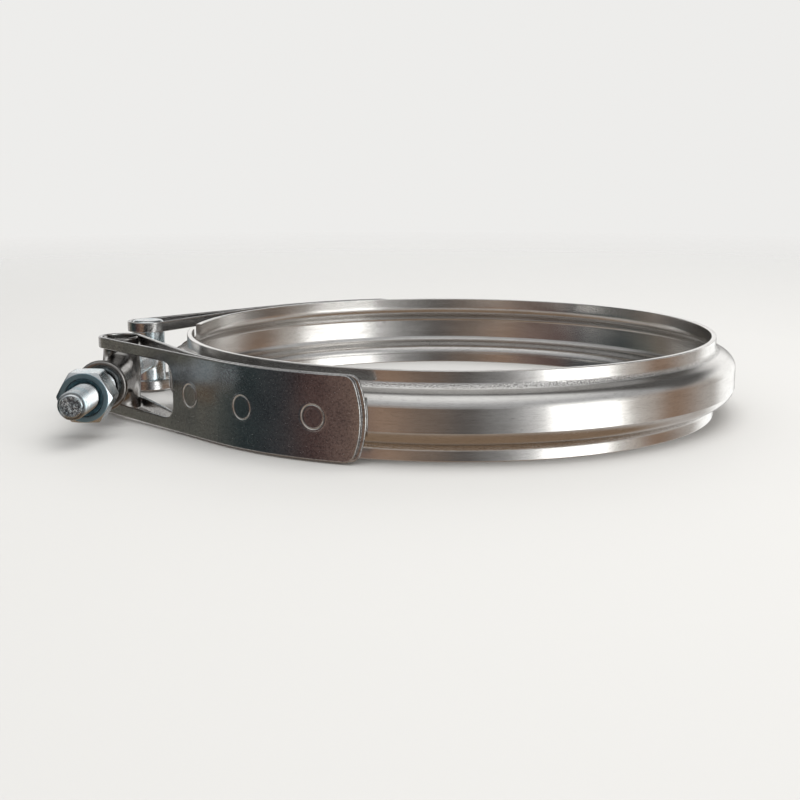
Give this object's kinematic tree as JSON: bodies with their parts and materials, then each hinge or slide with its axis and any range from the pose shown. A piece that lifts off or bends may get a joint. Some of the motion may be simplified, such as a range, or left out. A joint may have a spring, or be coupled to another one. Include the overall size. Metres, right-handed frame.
{
  "type": "v-band pipe clamp",
  "caption": "V-section spring ring clamp for flanged pipe ends, drawn together by a T-bolt through a swivelling trunnion held in two spot-welded loop straps.",
  "frame": {"origin": "centre of the ring, on its axis and mid-plane", "axes": "+Z along the ring's axis; the ring opens at -X; the T-bolt runs along Y with its nut at -Y"},
  "size_m": [0.1976, 0.177, 0.024],
  "materials": {
    "ring_steel": "rolled satin stainless",
    "strap_steel": "bright stainless with fine grain",
    "trunnion_steel": "drawn stainless",
    "zinc_plated_steel": "blue-white zinc plate",
    "locking_insert": "blue-green"
  },
  "bodies": {
    "front_half": {"v_retainer_front": "ring_steel", "trunnion_loop_strap": "strap_steel"},
    "back_half": {"v_retainer_back": "ring_steel", "t_bolt_loop_strap": "strap_steel"},
    "t_bolt_body": {"t_bolt": "zinc_plated_steel"},
    "trunnion_body": {"trunnion": "trunnion_steel"},
    "nut_carrier": {"lock_nut_insert": "locking_insert"},
    "nut_body": {"lock_nut": "zinc_plated_steel"}
  },
  "joints": [
    {"name": "ring_flex", "type": "hinge", "parent": "front_half", "child": "back_half", "pos_m": [0.0885, 0, 0], "axis": [0, 0, -1], "range_deg": [-3, 2], "stiffness_Nm_per_rad": 20},
    {"name": "trunnion_swivel", "type": "hinge", "parent": "front_half", "child": "trunnion_body", "pos_m": [-0.101, -0.0181, 0], "axis": [0, 0, -1], "range_deg": [-1.5, 1]},
    {"name": "t_bolt_swivel", "type": "hinge", "parent": "back_half", "child": "t_bolt_body", "pos_m": [-0.101, 0.0181, 0], "axis": [0, 0, -1], "range_deg": [-1, 1.5]},
    {"name": "nut_travel", "type": "slide", "parent": "trunnion_body", "child": "nut_carrier", "axis": [0, -1, 0], "range_m": [-0.0099, 0.006]},
    {"name": "nut_turn", "type": "hinge", "parent": "nut_carrier", "child": "nut_body", "pos_m": [-0.101, -0.0566, 0], "axis": [0, -1, 0], "range_deg": [-2851.2, 1728]}
  ],
  "couplings": [
    {"joint": "trunnion_swivel", "follows": "ring_flex", "ratio": 0.5},
    {"joint": "t_bolt_swivel", "follows": "ring_flex", "ratio": -0.5},
    {"joint": "nut_travel", "follows": "nut_turn", "m_per_rad": 0.00019894}
  ]
}
